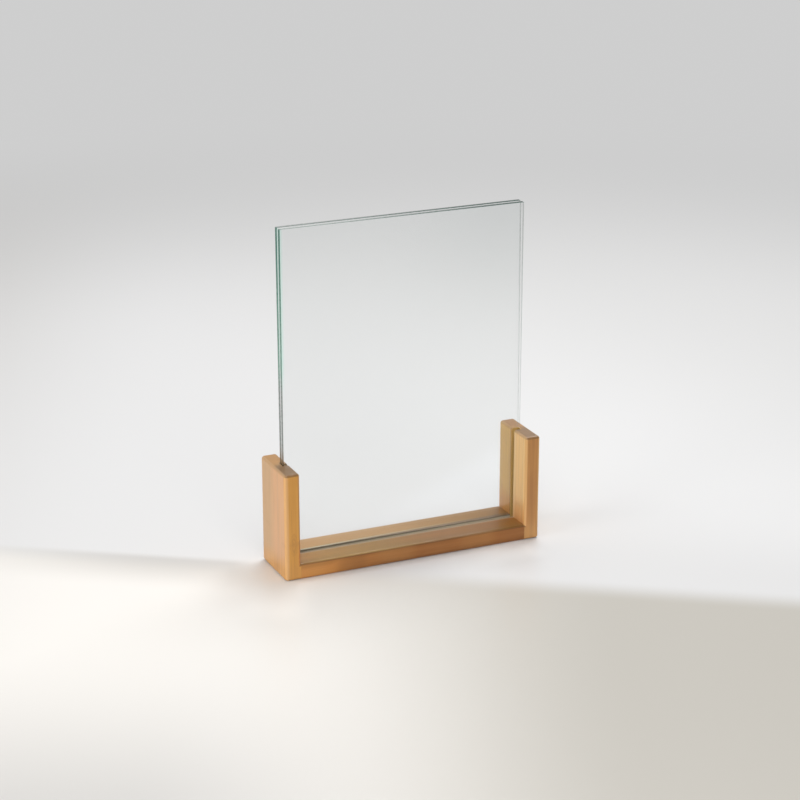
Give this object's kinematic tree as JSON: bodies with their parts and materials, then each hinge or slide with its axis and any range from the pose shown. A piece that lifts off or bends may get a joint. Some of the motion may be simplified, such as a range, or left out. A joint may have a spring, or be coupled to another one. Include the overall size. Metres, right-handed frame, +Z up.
{
  "type": "card holder",
  "caption": "Tabletop card holder: clear panes stand in the groove of a U-shaped bamboo base, with a thin slot between them for a card or photo.",
  "frame": {"origin": "on the table, at the middle of the underside of the base", "axes": "+X along the rail to the right as seen from the front, +Y from the front to the back, +Z up along the panes"},
  "size_m": [0.145, 0.033, 0.1823],
  "materials": {
    "bamboo": "clear satin lacquer over strip-laminated bamboo",
    "pane_glass": "clear float glass with ground green edges",
    "dowel_wood": "bare"
  },
  "bodies": {
    "base": {"base_rail": "bamboo", "left_post": "bamboo", "right_post": "bamboo", "left_front_dowel": "dowel_wood", "left_back_dowel": "dowel_wood", "right_front_dowel": "dowel_wood", "right_back_dowel": "dowel_wood"},
    "front_pane": {"front_pane": "pane_glass"},
    "back_pane": {"back_pane": "pane_glass"}
  },
  "joints": [
    {"name": "front_pane_lift", "type": "slide", "parent": "base", "child": "front_pane", "axis": [0, 0, 1], "range_m": [0, 0.06]},
    {"name": "back_pane_lift", "type": "slide", "parent": "base", "child": "back_pane", "axis": [0, 0, 1], "range_m": [0, 0.06]}
  ]
}
